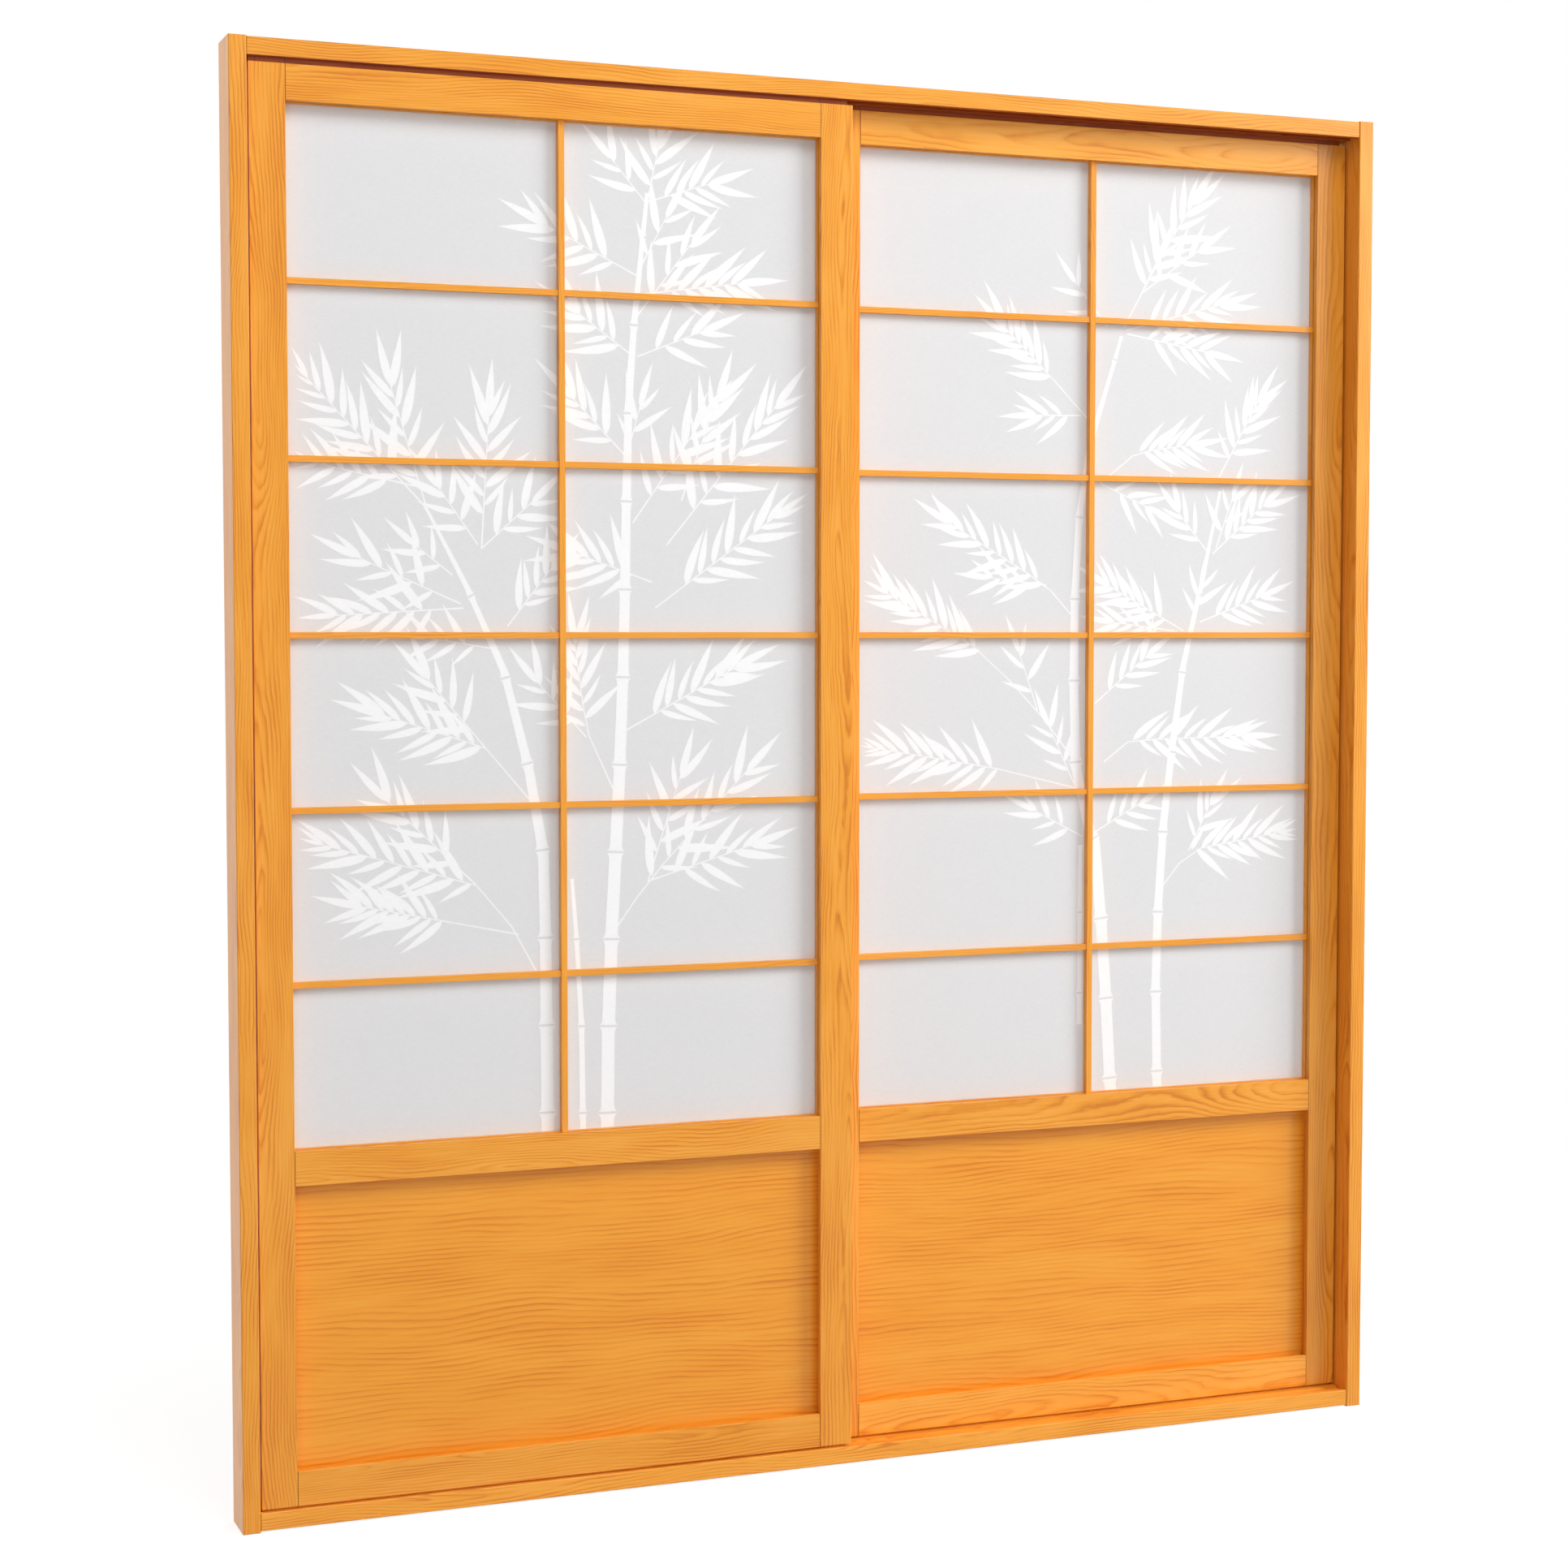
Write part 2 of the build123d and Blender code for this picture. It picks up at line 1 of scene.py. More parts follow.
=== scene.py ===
import math
import bpy
import numpy as np
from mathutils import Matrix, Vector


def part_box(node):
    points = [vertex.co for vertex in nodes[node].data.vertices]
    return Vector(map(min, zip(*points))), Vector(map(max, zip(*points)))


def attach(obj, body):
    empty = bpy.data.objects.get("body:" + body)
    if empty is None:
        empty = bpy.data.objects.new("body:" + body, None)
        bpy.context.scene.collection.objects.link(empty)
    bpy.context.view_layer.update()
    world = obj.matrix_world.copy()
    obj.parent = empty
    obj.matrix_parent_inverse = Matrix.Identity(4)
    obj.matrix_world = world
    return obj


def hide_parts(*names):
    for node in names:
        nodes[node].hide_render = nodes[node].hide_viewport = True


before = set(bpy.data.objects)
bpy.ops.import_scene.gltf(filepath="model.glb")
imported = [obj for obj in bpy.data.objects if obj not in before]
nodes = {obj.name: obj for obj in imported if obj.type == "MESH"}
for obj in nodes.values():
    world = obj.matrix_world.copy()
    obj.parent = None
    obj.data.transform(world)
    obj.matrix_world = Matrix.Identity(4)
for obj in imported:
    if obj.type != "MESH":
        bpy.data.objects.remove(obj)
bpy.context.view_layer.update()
maths = "ShaderNodeMath"
print("frame loaded:", len(nodes), "nodes")


# Colours and nodes

def linear(hexCode):
    # sRGB hex to the linear colour that Blender's sockets take
    parts = [int(hexCode[i:i + 2], 16) / 255 for i in (1, 3, 5)]
    return (*(c / 12.92 if c <= 0.04045 else ((c + 0.055) / 1.055) ** 2.4 for c in parts), 1.0)


def newMaterial(name):
    material = bpy.data.materials.new(name)
    material.use_nodes = True
    material.node_tree.nodes.clear()
    return material, material.node_tree


def add(tree, kind, inputs=None, stops=None, **settings):
    # inputs holds constants, or sockets to link, and stops are the places and colours of a ramp
    node = tree.nodes.new(kind)
    for key, value in settings.items():
        setattr(node, key, value)
    for key, value in (inputs or {}).items():
        if isinstance(value, bpy.types.NodeSocket):
            tree.links.new(value, node.inputs[key])
        else:
            node.inputs[key].default_value = value
    if stops:
        marks = node.color_ramp.elements
        while len(marks) < len(stops):
            marks.new(0.5)
        for mark, (place, value) in zip(marks, stops):
            mark.position = place
            mark.color = value if isinstance(value, tuple) else (value, value, value, 1)
    return node


def paint(name, material):
    # gives a CAD node its material
    mesh = nodes[name].data
    mesh.materials.clear()
    mesh.materials.append(material)
    mesh.polygons.foreach_set("material_index", np.zeros(len(mesh.polygons), dtype=np.int32))


def centreOf(name, axis):
    low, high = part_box(name)
    return (low[axis] + high[axis]) / 2


# Wood. Waves are counted in a metre: along the board, across it and into it.

wood = {
    "tones": ("#F3A741", "#EC9A28", "#D57B1C"),   # early wood, lacquered; between; late wood lines
    # lighter: painted light, brighter tones for the sill and the rear door's top and bottom rails that stand
    # in for light that the lamps don't give them
    "lighter": ("#F9AE46", "#F3A230", "#DB801F"),
    "panel": ("#F3A535", "#EE9926", "#D97C1A"),
    "darker": ("#E79F3F", "#E09327", "#CA751B"),  # stands in for shade that the lamps don't give
    "ring": 0.0044,               # metres between rings where they are cut square
    "panelRing": 0.0080,
    "pith": 0.036,                # metres from the pith to the middle of the frame's depth
    "aside": 0.011,               # how far a pith may lie to the side
    "sway": 0.026,                # metres that rings wander over a third of a metre
    "swayWaves": (3.0, 9, 9),
    "dipWaves": (2.2, 5, 5),
    "ripple": 0.0052,             # metres that they waver over a few centimetres
    "rippleWaves": (15, 42, 42),
    "taper": 0.006,               # growth of a ring along the trunk
    "lateWood": ((0.0, 0.5), (0.12, 0.05), (0.45, 0.1), (0.75, 0.6), (0.9, 1.0), (1.0, 0.5)),
    "fade": (2.0, 0.55),          # how much the rings' strength varies, and its mean
    "fadeWaves": (6.0, 40, 40),
    "patch": 0.9,                 # strength of the broad patches of tone
    "patchWaves": (4.0, 22, 22),
    "fibreWaves": (12.0, 0.5 / 0.0009, 0.5 / 0.0009),   # streaks 0.9 mm across
    "plain": 0.18,                # where plain wood lies on the ramp of tones
    "roughness": 0.31,
    "dullStreaks": 0.14,
    "bump": 0.35,
    "joint": 0.0009,              # half width of the dark line where a board meets another
    "shade": "#B37C5C",           # stands in for deep shade in the header's grooves, on the tongues
    "groove": 0.0155,             # metres up from the header's underside that it reaches
    "tongue": 0.0073,             # metres down from the header's underside that it reaches
    "skin": 0.0005,               # metres inside the header's faces where it starts
}


def wander(tree, board, shift, waves, detail, roughness=0.5):
    # a smooth random value round zero
    start = tuple(float(v) for v in shift * waves[0])
    spot = add(tree, "ShaderNodeMapping", {"Vector": board, "Scale": waves, "Location": start})
    noise = add(tree, "ShaderNodeTexNoise", {"Vector": spot.outputs[0], "Scale": 1.0, "Detail": detail,
                                             "Roughness": roughness})
    return add(tree, maths, {0: noise.outputs["Fac"], 1: 0.5}, operation="SUBTRACT").outputs[0]


def ringPhase(tree, board, shift, ahead, across, depth, centre, ring):
    # Rings lie round a pith behind the board, as sawn wood shows them: radius = length of
    # (across, depth + pith) + taper * along, with sway and ripple. The phase goes from 0 to 1 in a ring.
    sway = wander(tree, board, shift, wood["swayWaves"], 1.0)
    dip = wander(tree, board, shift, wood["dipWaves"], 1.0)
    ripple = wander(tree, board, shift, wood["rippleWaves"], 2.5, 0.55)
    middle = centre + float(shift[2]) * wood["aside"]
    off = add(tree, maths, {0: across, 1: middle}, operation="SUBTRACT").outputs[0]
    off = add(tree, maths, {0: sway, 1: wood["sway"] * 2, 2: off}, operation="MULTIPLY_ADD").outputs[0]
    deep = add(tree, maths, {0: depth, 1: wood["pith"]}, operation="ADD").outputs[0]
    deep = add(tree, maths, {0: dip, 1: wood["sway"] * 3, 2: deep}, operation="MULTIPLY_ADD").outputs[0]
    square = add(tree, maths, {0: deep, 1: deep}, operation="MULTIPLY").outputs[0]
    square = add(tree, maths, {0: off, 1: off, 2: square}, operation="MULTIPLY_ADD").outputs[0]
    radius = add(tree, maths, {0: square}, operation="SQRT").outputs[0]
    taper = wood["taper"] if shift[0] > 0 else -wood["taper"]
    radius = add(tree, maths, {0: ahead, 1: taper, 2: radius}, operation="MULTIPLY_ADD").outputs[0]
    radius = add(tree, maths, {0: ripple, 1: wood["ripple"], 2: radius}, operation="MULTIPLY_ADD").outputs[0]
    count = add(tree, maths, {0: radius, 1: 1.0}, operation="ADD").outputs[0]   # kept above zero
    count = add(tree, maths, {0: count, 1: ring}, operation="DIVIDE").outputs[0]
    return add(tree, maths, {0: count}, operation="FRACT").outputs[0]


def darken(tree, colour, share, shade):
    # colour multiplied by shade, as far as share says
    return add(tree, "ShaderNodeMix", {0: share, 6: colour, 7: shade}, data_type="RGBA",
               blend_type="MULTIPLY").outputs[2]


def makeWood(name, grain, seed, centre, tones="tones", contrast=1.0, ring="ring", joints=(), shaded=None):
    # Planed pine under clear satin lacquer: warm, with rings, streaks along the grain and a soft sheen.
    # grain is the axis along the board. joints are the places along it where it meets another board.
    # shaded holds the heights, then the depths, between which it lies in deep shade.
    material, tree = newMaterial(name)
    shift = np.random.default_rng(seed).uniform(-3, 3, 3)
    place = add(tree, "ShaderNodeTexCoord").outputs["Object"]
    x, y, z = add(tree, "ShaderNodeSeparateXYZ", {0: place}).outputs
    ahead, across = (z, x) if grain == "Z" else (x, z)
    board = add(tree, "ShaderNodeCombineXYZ", {0: ahead, 1: across, 2: y}).outputs[0]
    phase = ringPhase(tree, board, shift, ahead, across, y, centre, wood[ring])
    # each ring darkens to a thin line of late wood, then starts pale again
    late = add(tree, "ShaderNodeValToRGB", {0: phase}, wood["lateWood"]).outputs[0]
    streak = wander(tree, board, shift, wood["fibreWaves"], 3.0, 0.6)
    patch = wander(tree, board, shift, wood["patchWaves"], 2.0)
    fade = wander(tree, board, shift, wood["fadeWaves"], 1.5)
    varied, mean = (contrast * v for v in wood["fade"])
    strength = add(tree, maths, {0: fade, 1: varied, 2: mean}, operation="MULTIPLY_ADD").outputs[0]
    amount = add(tree, maths, {0: late, 1: strength}, operation="MULTIPLY").outputs[0]
    amount = add(tree, maths, {0: streak, 1: contrast, 2: amount}, operation="MULTIPLY_ADD").outputs[0]
    broad = wood["patch"] * contrast
    amount = add(tree, maths, {0: patch, 1: broad, 2: amount}, operation="MULTIPLY_ADD").outputs[0]
    amount = add(tree, maths, {0: amount, 1: wood["plain"]}, operation="ADD").outputs[0]
    early, between, lines = (linear(c) for c in wood[tones])
    colour = add(tree, "ShaderNodeValToRGB", {0: amount},
                 ((0.0, early), (0.42, between), (1.0, lines))).outputs[0]
    for meeting in joints:
        gap = add(tree, maths, {0: ahead, 1: meeting}, operation="SUBTRACT").outputs[0]
        gap = add(tree, maths, {0: gap}, operation="ABSOLUTE").outputs[0]
        gap = add(tree, maths, {0: gap, 1: wood["joint"] * 2}, operation="DIVIDE").outputs[0]
        line = add(tree, "ShaderNodeValToRGB", {0: gap}, ((0.4, 0.3), (0.6, 1.0))).outputs[0]
        colour = darken(tree, colour, 1.0, line)
    if shaded:
        inside = 1.0
        for value, (least, most) in zip((z, y), shaded):
            for limit, test in ((least, "GREATER_THAN"), (most, "LESS_THAN")):
                met = add(tree, maths, {0: value, 1: limit}, operation=test).outputs[0]
                inside = add(tree, maths, {0: inside, 1: met}, operation="MULTIPLY").outputs[0]
        colour = darken(tree, colour, inside, linear(wood["shade"]))
    rough = add(tree, maths, {0: streak, 1: wood["dullStreaks"], 2: wood["roughness"]},
                operation="MULTIPLY_ADD").outputs[0]
    height = add(tree, maths, {0: late, 1: -0.4, 2: streak}, operation="MULTIPLY_ADD").outputs[0]
    bump = add(tree, "ShaderNodeBump", {"Height": height, "Strength": wood["bump"], "Distance": 0.00015})
    shader = add(tree, "ShaderNodeBsdfPrincipled", {"Base Color": colour, "Roughness": rough,
                                                    "Normal": bump.outputs[0], "Specular IOR Level": 0.5})
    add(tree, "ShaderNodeOutputMaterial", {0: shader.outputs[0]})
    return material


# Paper and print

paper = {
    "colour": "#E7E7E8",
    "printColour": "#F8F8F9",
    "thin": 0.10,                 # share of the light that comes through
    "cloud": 0.004,               # metres across a cloud of fibres
    "fibreWaves": (90, 90, 900),
    "paler": 1.03,
    "duller": 0.965,
}


def makePaper(name, colour, thin):
    # Fibre paper: matt, with long soft fibres that leave faint clouds, and light from both sides.
    material, tree = newMaterial(name)
    place = add(tree, "ShaderNodeTexCoord").outputs["Object"]
    clouds = add(tree, "ShaderNodeTexNoise", {"Vector": place, "Scale": 1 / paper["cloud"], "Detail": 4.0,
                                              "Roughness": 0.65}).outputs["Fac"]
    spot = add(tree, "ShaderNodeMapping", {"Vector": place, "Scale": paper["fibreWaves"],
                                           "Rotation": (0, 0.5, 0)}).outputs[0]
    fibres = add(tree, "ShaderNodeTexNoise", {"Vector": spot, "Scale": 1.0, "Detail": 3.0}).outputs["Fac"]
    half = add(tree, maths, {0: clouds, 1: 0.5}, operation="MULTIPLY").outputs[0]
    both = add(tree, maths, {0: fibres, 1: 0.5, 2: half}, operation="MULTIPLY_ADD").outputs[0]
    base = linear(colour)[:3]
    low = (*(c * paper["duller"] for c in base), 1)
    high = (*(min(c * paper["paler"], 1) for c in base), 1)
    tone = add(tree, "ShaderNodeValToRGB", {0: both}, ((0.3, low), (0.7, high))).outputs[0]
    bump = add(tree, "ShaderNodeBump", {"Height": both, "Strength": 0.15, "Distance": 0.0002}).outputs[0]
    front = add(tree, "ShaderNodeBsdfPrincipled", {"Base Color": tone, "Roughness": 0.85, "Normal": bump,
                                                   "Specular IOR Level": 0.2})
    through = add(tree, "ShaderNodeBsdfTranslucent", {"Color": tone})
    mix = add(tree, "ShaderNodeMixShader", {0: thin, 1: front.outputs[0], 2: through.outputs[0]})
    add(tree, "ShaderNodeOutputMaterial", {0: mix.outputs[0]})
    return material


# Materials on the CAD nodes

headerLow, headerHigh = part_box("header")
skin = wood["skin"]
grooved = ((headerLow[2] - skin, headerLow[2] + wood["groove"]), (headerLow[1] + skin, headerHigh[1] - skin))
tongued = ((headerLow[2] - wood["tongue"], headerHigh[2]), (headerLow[1], headerHigh[1]))


def paintFrame():
    for i, name in enumerate(("left_jamb", "right_jamb")):
        paint(name, makeWood("pine jamb, planed and lacquered " + str(i), "Z", 10 + i,
                             centreOf(name, 0) + 0.02, contrast=1.15))
    jambs = (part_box("left_jamb")[1][0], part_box("right_jamb")[0][0])
    paint("header", makeWood("pine header, planed and lacquered", "X", 20, centreOf("header", 2),
                             contrast=1.1, joints=jambs, shaded=grooved))
    paint("sill", makeWood("pine sill, planed and lacquered", "X", 21, centreOf("sill", 2), "lighter", 1.1,
                           joints=jambs))
    paint("corner_dowels", makeWood("beech, turned", "X", 90, 0, contrast=0.5))


def paintDoor(door, rear, beadAcross, beadUp):
    for i, side in enumerate(("left", "right")):
        name = door + side + "_stile"
        paint(name, makeWood("pine stile, lacquered " + door + side, "Z", 30 + 4 * rear + i,
                             centreOf(name, 0), "darker" if rear and i else "tones", 1.15, shaded=tongued))
        paint(door + side + "_border", beadUp)
    shoulders = (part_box(door + "left_stile")[1][0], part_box(door + "right_stile")[0][0])
    for i, rail in enumerate(("top_rail", "mid_rail", "bottom_rail")):
        tones = "lighter" if rear and rail != "mid_rail" else "tones"
        paint(door + rail, makeWood("pine " + rail + " " + door, "X", 40 + 4 * rear + i,
                                    centreOf(door + rail, 2), tones, 1.05, joints=shoulders, shaded=tongued))
    name = door + "kick_panel"
    paint(name, makeWood("pine kick panel " + door, "X", 50 + rear, centreOf(name, 2) - 0.35, "panel", 0.85,
                         "panelRing"))
    paint(door + "upright_bar", beadUp)
    for i in range(5):
        paint(door + "cross_bar_" + str(i + 1), beadAcross)
    for side in ("top", "bottom"):
        paint(door + side + "_border", beadAcross)
    for use in ("_paper_bead", "_kick_bead"):
        for side in ("left", "right"):
            paint(door + side + use, beadUp)
        for side in ("top", "bottom"):
            paint(door + side + use, beadAcross)
    paint(door + "paper", paperMaterial)
    paint(door + "bamboo_print", printMaterial)


lyingBead = makeWood("pine bead, lying grain", "X", 60, 0, contrast=0.7)
standingBead = makeWood("pine bead, standing grain", "Z", 61, 0, contrast=0.7)
paperMaterial = makePaper("white fibre paper", paper["colour"], paper["thin"])
printMaterial = makePaper("white print on fibre paper", paper["printColour"], 0.0)
paintFrame()
paintDoor("front_", 0, lyingBead, standingBead)
paintDoor("rear_", 1, lyingBead, standingBead)
print("materials done")


# Bamboo print: the source's canes, and branches with more leaves, all but three at the rear door's
# top in the source's places. Millimetres from the middle of each light's lower edge. A cane is its
# points, then its width at foot and tip. A branch is its points from the cane to its tip, its pairs
# of leaves and their length before the stretch.

canes = {
    "front_door": [
        ([(68, -27), (70, 142), (76, 294), (88, 510), (95, 682), (98, 801),
          (100, 908), (105, 1090), (117, 1218), (134, 1368)], 20, 6),
        ([(-23, -21), (-24, 147), (-26, 384), (-37, 480), (-53, 545),
          (-86, 673), (-129, 768), (-166, 851), (-202, 908)], 19, 4),
        ([(31, -25), (29, 155), (21, 296), (15, 372)], 9, 5),
    ],
    "rear_door": [
        ([(46, -29), (31, 219), (14, 395), (-16, 454), (-24, 582), (-25, 744),
          (-19, 882), (-7, 998), (25, 1091), (57, 1195)], 20, 5),
        ([(129, -23), (124, 203), (130, 321), (138, 439), (155, 568),
          (174, 697), (206, 815), (236, 956)], 16, 4),
        ([(-12, 109), (-12, 396)], 8, 6),
    ],
}
branches = {
    "front_door": [
        ([(134, 1352), (151, 1433)], 3, 62),
        ([(134, 1347), (78, 1412)], 2, 58),
        ([(134, 1352), (231, 1384)], 4, 62),
        ([(117, 1245), (-22, 1312)], 5, 66),
        ([(119, 1250), (163, 1332)], 2, 60),
        ([(120, 1218), (278, 1241)], 6, 66),
        ([(117, 1186), (203, 1297)], 3, 60),
        ([(113, 1127), (27, 1188)], 4, 66),
        ([(117, 1128), (220, 1169)], 3, 62),
        ([(100, 983), (18, 1066)], 4, 66),
        ([(100, 978), (122, 1058)], 2, 56),
        ([(110, 887), (219, 1040)], 5, 66),
        ([(144, 763), (336, 901)], 7, 68),
        ([(162, 855), (336, 1065)], 7, 68),
        ([(185, 920), (243, 1073)], 4, 64),
        ([(139, 801), (20, 843)], 5, 66),
        ([(81, 494), (38, 586), (20, 715)], 6, 60),
        ([(38, 575), (-36, 656)], 3, 58),
        ([(100, 585), (271, 676)], 7, 66),
        ([(78, 288), (132, 362), (289, 523)], 6, 66),
        ([(132, 362), (300, 412)], 5, 64),
        ([(132, 362), (184, 519)], 4, 62),
        ([(-198, 903), (-371, 1085)], 8, 68),
        ([(-198, 903), (-250, 1078)], 5, 66),
        ([(-214, 934), (-372, 967)], 5, 62),
        ([(-118, 847), (-106, 1041)], 6, 66),
        ([(-118, 847), (-41, 916)], 3, 60),
        ([(-123, 852), (-182, 935)], 3, 60),
        ([(-145, 762), (-332, 751)], 6, 64),
        ([(-149, 768), (-300, 834)], 4, 62),
        ([(-161, 809), (-215, 851)], 2, 52),
        ([(-80, 736), (-13, 821)], 4, 58),
        ([(-43, 480), (-114, 562), (-265, 611)], 7, 66),
        ([(-114, 562), (-200, 663)], 4, 62),
        ([(-102, 704), (-200, 720)], 3, 50),
        ([(-38, 234), (-66, 291), (-129, 365), (-356, 430)], 9, 66),
        ([(-129, 365), (-260, 490)], 5, 64),
        ([(-66, 291), (-175, 314), (-299, 340)], 8, 62),
    ],
    "rear_door": [
        ([(61, 1207), (120, 1310), (184, 1408)], 5, 66),
        ([(88, 1254), (124, 1322)], 3, 60),
        ([(64, 1201), (236, 1249)], 6, 58),
        ([(94, 1262), (196, 1334)], 3, 58),
        ([(66, 1196), (210, 1172)], 5, 58),
        ([(31, 1206), (-25, 1272)], 2, 50),
        ([(-3, 1061), (-65, 1122), (-149, 1199)], 7, 60),
        ([(-14, 1066), (-97, 1064)], 3, 54),
        ([(20, 961), (85, 1011), (184, 1025)], 6, 58),
        ([(20, 961), (105, 925)], 3, 52),
        ([(233, 974), (305, 1099)], 6, 58),
        ([(213, 856), (158, 920)], 3, 54),
        ([(223, 853), (318, 934)], 5, 58),
        ([(229, 862), (259, 945)], 2, 50),
        ([(200, 744), (315, 786)], 5, 56),
        ([(187, 738), (202, 803)], 2, 50),
        ([(171, 730), (34, 802)], 7, 56),
        ([(153, 730), (41, 744)], 4, 50),
        ([(-31, 756), (-74, 801), (-242, 896)], 8, 60),
        ([(-74, 801), (-172, 812)], 3, 54),
        ([(-26, 530), (-88, 606), (-184, 698), (-347, 788)], 10, 62),
        ([(-88, 606), (-121, 698)], 2, 54),
        ([(-20, 483), (-152, 515), (-371, 552)], 11, 62),
        ([(-20, 483), (-69, 583)], 3, 54),
        ([(13, 616), (107, 692)], 4, 56),
        ([(29, 523), (75, 557), (283, 561)], 9, 60),
        ([(-9, 407), (-94, 450)], 3, 52),
        ([(14, 413), (95, 457)], 3, 54),
        ([(134, 321), (183, 379), (353, 404)], 9, 60),
        ([(183, 379), (223, 455)], 3, 54),
    ],
}

bamboo = {
    "slim": 0.150,            # width of a leaf to its length
    "spread": 48.0,           # degrees between the first leaves and their twig
    "stretch": 1.3,           # leaves are drawn this much longer than listed
    "bare": 0.22,             # part of a straight twig without leaves
    "bend": 0.10,             # how far a leaf's tip bends, to its length
    "twig": 2.4,
    "margin": 12.0,           # between a leaf's tip and the edge of the paper
    "caneLength": 128.0,      # from ring to ring
    "ring": 3.2,              # bare ring between two lengths of a cane
    "flare": 9.0,
    "swell": 1.45,
    "height": 0.00010,        # metres in front of the paper
    "step": 0.000008,         # metres between strips that overlap
}


def pathPoint(path, distance):
    # points and unit directions at an array of distances along a path
    path = np.array(path, float)
    runs = np.linalg.norm(np.diff(path, axis=0), axis=1)
    marks = np.concatenate([[0], np.cumsum(runs)])
    distance = np.clip(np.asarray(distance, float), 0, marks[-1] - 1e-6)
    leg = np.clip(np.searchsorted(marks, distance, side="right") - 1, 0, len(runs) - 1)
    way = np.diff(path, axis=0)[leg] / runs[leg][:, None]
    return path[leg] + way * (distance - marks[leg])[:, None], way


def pathLength(path):
    return float(np.linalg.norm(np.diff(np.array(path, float), axis=0), axis=1).sum())


def leafStrips(roots, angles, lengths, bends):
    # Leaves as strips of ten steps: width = slim * length * 3.2 * t^0.6 * (1 - t)^1.25 along a midrib
    # that bends as t squared. The two edges come back shaped (leaves, steps, 2).
    t = np.linspace(0, 1, 11)
    half = bamboo["slim"] * lengths[:, None] * 0.5 * 3.2 * t ** 0.6 * (1 - t) ** 1.25
    ahead = lengths[:, None] * t
    aside = bends[:, None] * lengths[:, None] * t ** 2
    c, s = np.cos(angles)[:, None], np.sin(angles)[:, None]
    edges = []
    for sign in (1, -1):
        a, b = ahead, aside + sign * half
        edges.append(np.stack([roots[:, :1] + a * c - b * s, roots[:, 1:] + a * s + b * c], axis=2))
    return edges


def printStrips(door, halfWidth):
    # all strips of a door's print, as a list of (left edges, right edges), in millimetres
    strips = []
    for path, foot, tip in canes[door]:
        total = pathLength(path)
        rings = np.arange(bamboo["caneLength"] * 0.4, total - 25, bamboo["caneLength"])
        edges = [0.0, *rings, total]
        for start, end in zip(edges, edges[1:]):
            end -= bamboo["ring"]
            spots = np.array([start, start + bamboo["flare"] * 0.4, start + bamboo["flare"],
                              end - bamboo["flare"], end - bamboo["flare"] * 0.4, end])
            swell = np.array([bamboo["swell"], 1.1, 1, 1, 1.1, bamboo["swell"]])
            wide = (foot + (tip - foot) * (spots / total) ** 2) * swell
            point, way = pathPoint(path, spots)
            side = np.stack([-way[:, 1], way[:, 0]], axis=1) * wide[:, None] / 2
            strips.append(((point + side)[None], (point - side)[None]))
    roots, angles, lengths, bends = [], [], [], []
    for number, (path, pairs, length) in enumerate(branches[door]):
        total = pathLength(path)
        length = length * bamboo["stretch"]
        spots = np.linspace(0, total, 6)
        point, way = pathPoint(path, spots)
        wide = bamboo["twig"] * (1 - 0.5 * spots / total)
        side = np.stack([-way[:, 1], way[:, 0]], axis=1) * wide[:, None] / 2
        strips.append(((point + side)[None], (point - side)[None]))
        bare = total * bamboo["bare"] if len(path) == 2 else pathLength(path[:-1])
        i = np.repeat(np.arange(pairs), 2)
        turn = np.tile([1, -1], pairs)
        spots = bare + (total - bare) / pairs * (i + 0.5 - 0.25 * turn)
        point, way = pathPoint(path, spots)
        base = np.arctan2(way[:, 1], way[:, 0])
        jitter = np.sin(7.3 * i + 3.1 * turn + number * 1.7 + length)
        spread = np.radians(bamboo["spread"] * (1 - 0.5 * i / pairs) + 7 * jitter)
        roots.append(point)
        angles.append(base + turn * spread)
        lengths.append(length * (0.86 + 0.2 * np.sin(2.6 * i + turn * 1.3 + number)))
        bends.append(-turn * bamboo["bend"] * (0.6 + 0.8 * np.cos(3.3 * i + number)))
        point, way = pathPoint(path, [total - 3])
        roots.append(point)
        angles.append(np.arctan2(way[:, 1], way[:, 0]))
        lengths.append(np.array([length * 0.95]))
        bends.append(np.array([0.05 * np.sin(number)]))
    roots, angles, lengths, bends = (np.concatenate(v) for v in (roots, angles, lengths, bends))
    reach = lengths * np.cos(angles)
    room = np.clip(halfWidth - bamboo["margin"] - np.sign(reach) * roots[:, 0], 0, None)
    lengths = lengths * np.clip(room / np.maximum(np.abs(reach), 1e-6), 0.3, 1)
    strips.append(leafStrips(roots, angles, lengths, bends))
    return strips


def freeLayers(groups):
    # a layer for each strip, the lowest that no earlier strip with an overlapping box has
    boxes = np.concatenate([np.hstack([g.min(axis=1), g.max(axis=1)]) for g in groups])
    layers = np.zeros(len(boxes), int)
    for i in range(1, len(boxes)):
        met = (boxes[:i, :2] < boxes[i, 2:]).all(axis=1) & (boxes[:i, 2:] > boxes[i, :2]).all(axis=1)
        taken = np.unique(layers[:i][met])
        free = np.setdiff1d(np.arange(len(taken) + 1), taken)
        layers[i] = free[0]
    print("print layers", layers.max() + 1)
    return np.split(layers, np.cumsum([len(g) for g in groups])[:-1])


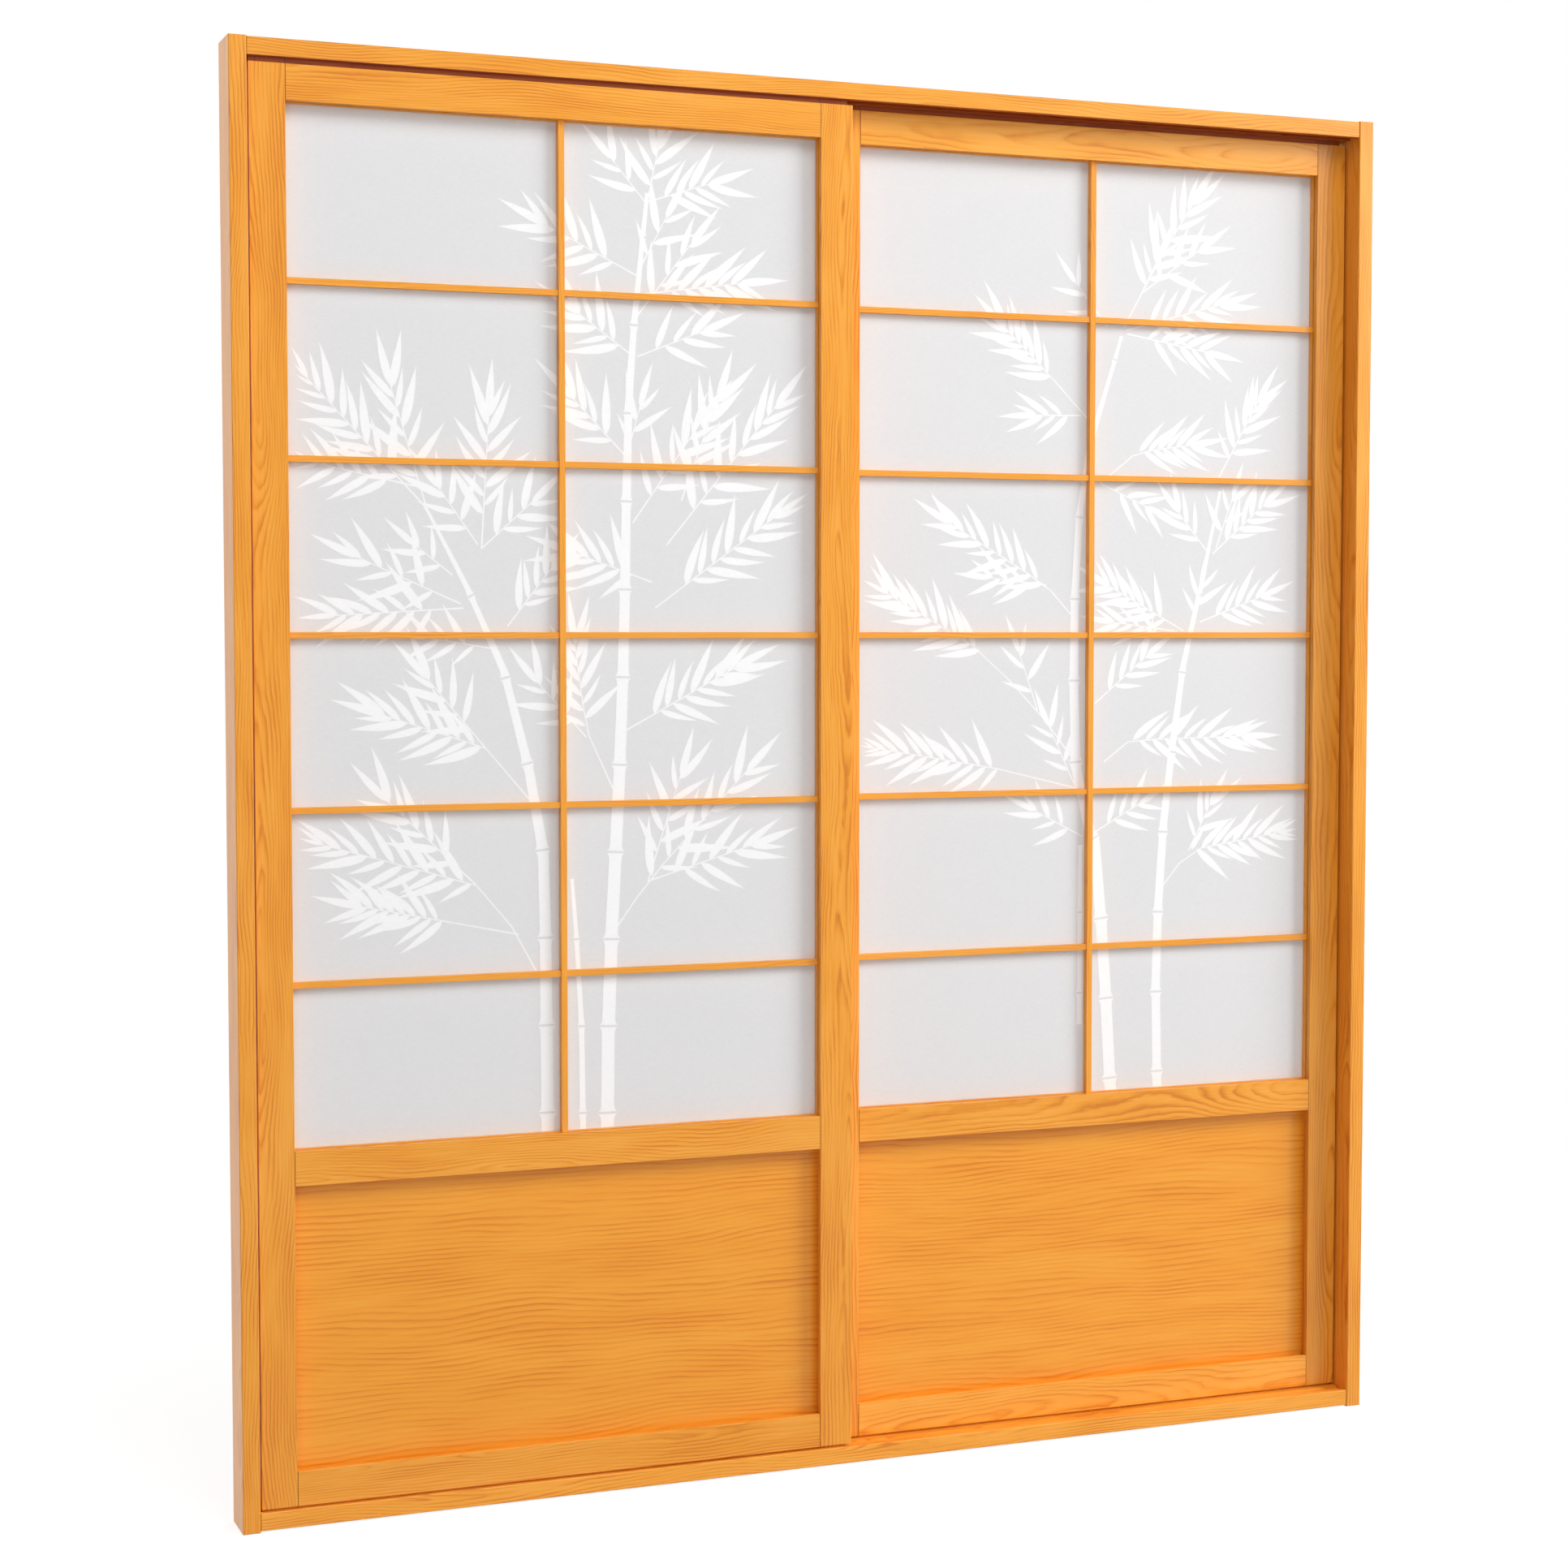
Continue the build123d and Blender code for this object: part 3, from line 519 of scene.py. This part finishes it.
def makePrint(door, node, material):
    # one thin sheet of strips just in front of the paper, cut off at the light's border
    prefix = node.replace("bamboo_print", "")
    paperLow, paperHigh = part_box(prefix + "paper")
    middle = (paperLow[0] + paperHigh[0]) / 2
    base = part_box(prefix + "mid_rail")[1][2]
    left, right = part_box(prefix + "left_border")[1][0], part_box(prefix + "right_border")[0][0]
    low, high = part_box(prefix + "bottom_border")[1][2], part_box(prefix + "top_border")[0][2]
    front = paperLow[1] - bamboo["height"]
    corners, faces, count = [], [], 0
    strips = printStrips(door, 1000 * (right - left) / 2)
    layers = freeLayers([np.stack([a, b], axis=2).reshape(len(a), -1, 2) for a, b in strips])
    for (a, b), layer in zip(strips, layers):
        n, steps = a.shape[0], a.shape[1]
        flat = np.stack([a, b], axis=2).reshape(-1, 2) / 1000
        x = np.clip(flat[:, 0] + middle, left, right)
        z = np.clip(flat[:, 1] + base, low, high)
        y = front - np.repeat(layer, steps * 2) * bamboo["step"]
        corners.append(np.stack([x, y, z], axis=1))
        k = np.arange(steps - 1)[None, :] * 2 + np.arange(n)[:, None] * steps * 2 + count
        faces.append(np.stack([k, k + 1, k + 3, k + 2], axis=2).reshape(-1, 4))
        count += n * steps * 2
    mesh = bpy.data.meshes.new(node + "_fine")
    mesh.from_pydata(np.concatenate(corners).tolist(), [], np.concatenate(faces).tolist())
    normals = np.zeros(len(mesh.polygons) * 3)
    mesh.polygons.foreach_get("normal", normals)
    if normals[1::3].mean() > 0:
        mesh.flip_normals()
    mesh.materials.append(material)
    piece = bpy.data.objects.new(node + "_fine", mesh)
    bpy.context.scene.collection.objects.link(piece)
    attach(piece, door)
    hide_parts(node)
    print(node, "faces", len(mesh.polygons))


makePrint("front_door", "front_bamboo_print", printMaterial)
makePrint("rear_door", "rear_bamboo_print", printMaterial)


# Floor, light and camera

light = {
    "world": 0.07,                # light from all round, for the object's diffuse faces
    "lamps": {                    # place, diameter and power in watts
        "right": ((6.8, -4.1, 4.2), 5.0, 560),
        "top": ((0.5, -5.5, 7.5), 5.0, 335),
        "front": ((-4.0, -8.0, 1.4), 5.0, 160),
        "left": ((-5.5, 3.5, 3.0), 4.0, 185),
        "back": ((4.0, 6.0, 4.0), 5.0, 280),
    },
    "aim": (0, 0, 1.0),
    "floorReach": 30,
    "floorBounce": 0.5,           # share of the light that the floor sends back
    "floorGlow": 0.81,            # white that the floor has by itself, near the object
    "floorMatt": 0.30,            # and the share that takes the shadow
    "fade": (4.0, 0.35, 0.8),     # metres, and the parts of them over which the floor turns white
}


def seenRays(tree):
    # one for rays from the camera, a reflection or a clear body, else nothing
    rays = add(tree, "ShaderNodeLightPath").outputs
    seen = add(tree, maths, {0: rays["Is Camera Ray"], 1: rays["Is Glossy Ray"]}, operation="ADD").outputs[0]
    seen = add(tree, maths, {0: seen, 1: rays["Is Transmission Ray"]}, operation="ADD").outputs[0]
    return add(tree, maths, {0: seen, 1: 1.0}, operation="MINIMUM").outputs[0]


def makeFloor():
    r = light["floorReach"]
    mesh = bpy.data.meshes.new("floor")
    mesh.from_pydata([(-r, -r, 0), (r, -r, 0), (r, r, 0), (-r, r, 0)], [], [(0, 1, 2, 3)])
    floor = bpy.data.objects.new("floor", mesh)
    bpy.context.scene.collection.objects.link(floor)
    material, tree = newMaterial("white studio floor")
    place = add(tree, "ShaderNodeTexCoord").outputs["Object"]
    away = add(tree, "ShaderNodeVectorMath", {0: place}, operation="LENGTH").outputs["Value"]
    reach, start, full = light["fade"]
    away = add(tree, maths, {0: away, 1: reach}, operation="DIVIDE").outputs[0]
    far = add(tree, "ShaderNodeValToRGB", {0: away}, ((start, 0.0), (full, 1.0)))
    far.color_ramp.interpolation = "EASE"
    sent, share = light["floorBounce"], light["floorMatt"]
    bounce = add(tree, "ShaderNodeBsdfDiffuse", {"Color": (sent, sent, sent, 1)})
    matt = add(tree, "ShaderNodeBsdfDiffuse", {"Color": (share, share, share, 1)})
    glow = add(tree, "ShaderNodeEmission", {"Color": (1, 1, 1, 1), "Strength": light["floorGlow"]})
    both = add(tree, "ShaderNodeAddShader", {0: matt.outputs[0], 1: glow.outputs[0]})
    white = add(tree, "ShaderNodeEmission", {"Color": (1, 1, 1, 1), "Strength": 1.0})
    shown = add(tree, "ShaderNodeMixShader", {0: far.outputs[0], 1: both.outputs[0], 2: white.outputs[0]})
    mix = add(tree, "ShaderNodeMixShader", {0: seenRays(tree), 1: bounce.outputs[0], 2: shown.outputs[0]})
    add(tree, "ShaderNodeOutputMaterial", {0: mix.outputs[0]})
    mesh.materials.append(material)


def makeWorld():
    world = bpy.data.worlds.new("white studio")
    bpy.context.scene.world = world
    world.use_nodes = True
    tree = world.node_tree
    tree.nodes.clear()
    soft = add(tree, "ShaderNodeBackground", {"Color": (1, 1, 1, 1), "Strength": light["world"]})
    white = add(tree, "ShaderNodeBackground", {"Color": (1, 1, 1, 1), "Strength": 1.0})
    mix = add(tree, "ShaderNodeMixShader", {0: seenRays(tree), 1: soft.outputs[0], 2: white.outputs[0]})
    add(tree, "ShaderNodeOutputWorld", {0: mix.outputs[0]})


def makeLamp(name, place, size, power):
    # a round soft lamp that faces the aim
    lamp = bpy.data.lights.new(name, "AREA")
    lamp.shape = "DISK"
    lamp.size = size
    lamp.energy = power
    obj = bpy.data.objects.new(name, lamp)
    bpy.context.scene.collection.objects.link(obj)
    obj.location = place
    ahead = np.array(light["aim"]) - np.array(place)
    ahead = ahead / np.linalg.norm(ahead)
    obj.rotation_euler = (math.acos(-ahead[2]), 0, math.atan2(-ahead[0], ahead[1]))


camera = {
    "place": (-1.6549, -3.9549, 1.2611),
    "tilt": 86.973,               # degrees
    "turn": -21.643,
    "lens": 65.198,               # on a 36 mm sensor
    "sensor": 36,
}


def makeCamera():
    data = bpy.data.cameras.new("camera")
    data.lens = camera["lens"]
    data.sensor_width = camera["sensor"]
    obj = bpy.data.objects.new("camera", data)
    bpy.context.scene.collection.objects.link(obj)
    obj.location = camera["place"]
    obj.rotation_euler = (math.radians(camera["tilt"]), 0, math.radians(camera["turn"]))
    bpy.context.scene.camera = obj


makeFloor()
makeWorld()
for name, (place, size, power) in light["lamps"].items():
    makeLamp(name, place, size, power)
makeCamera()
bpy.context.scene.view_settings.view_transform = "Standard"
print("stage done")
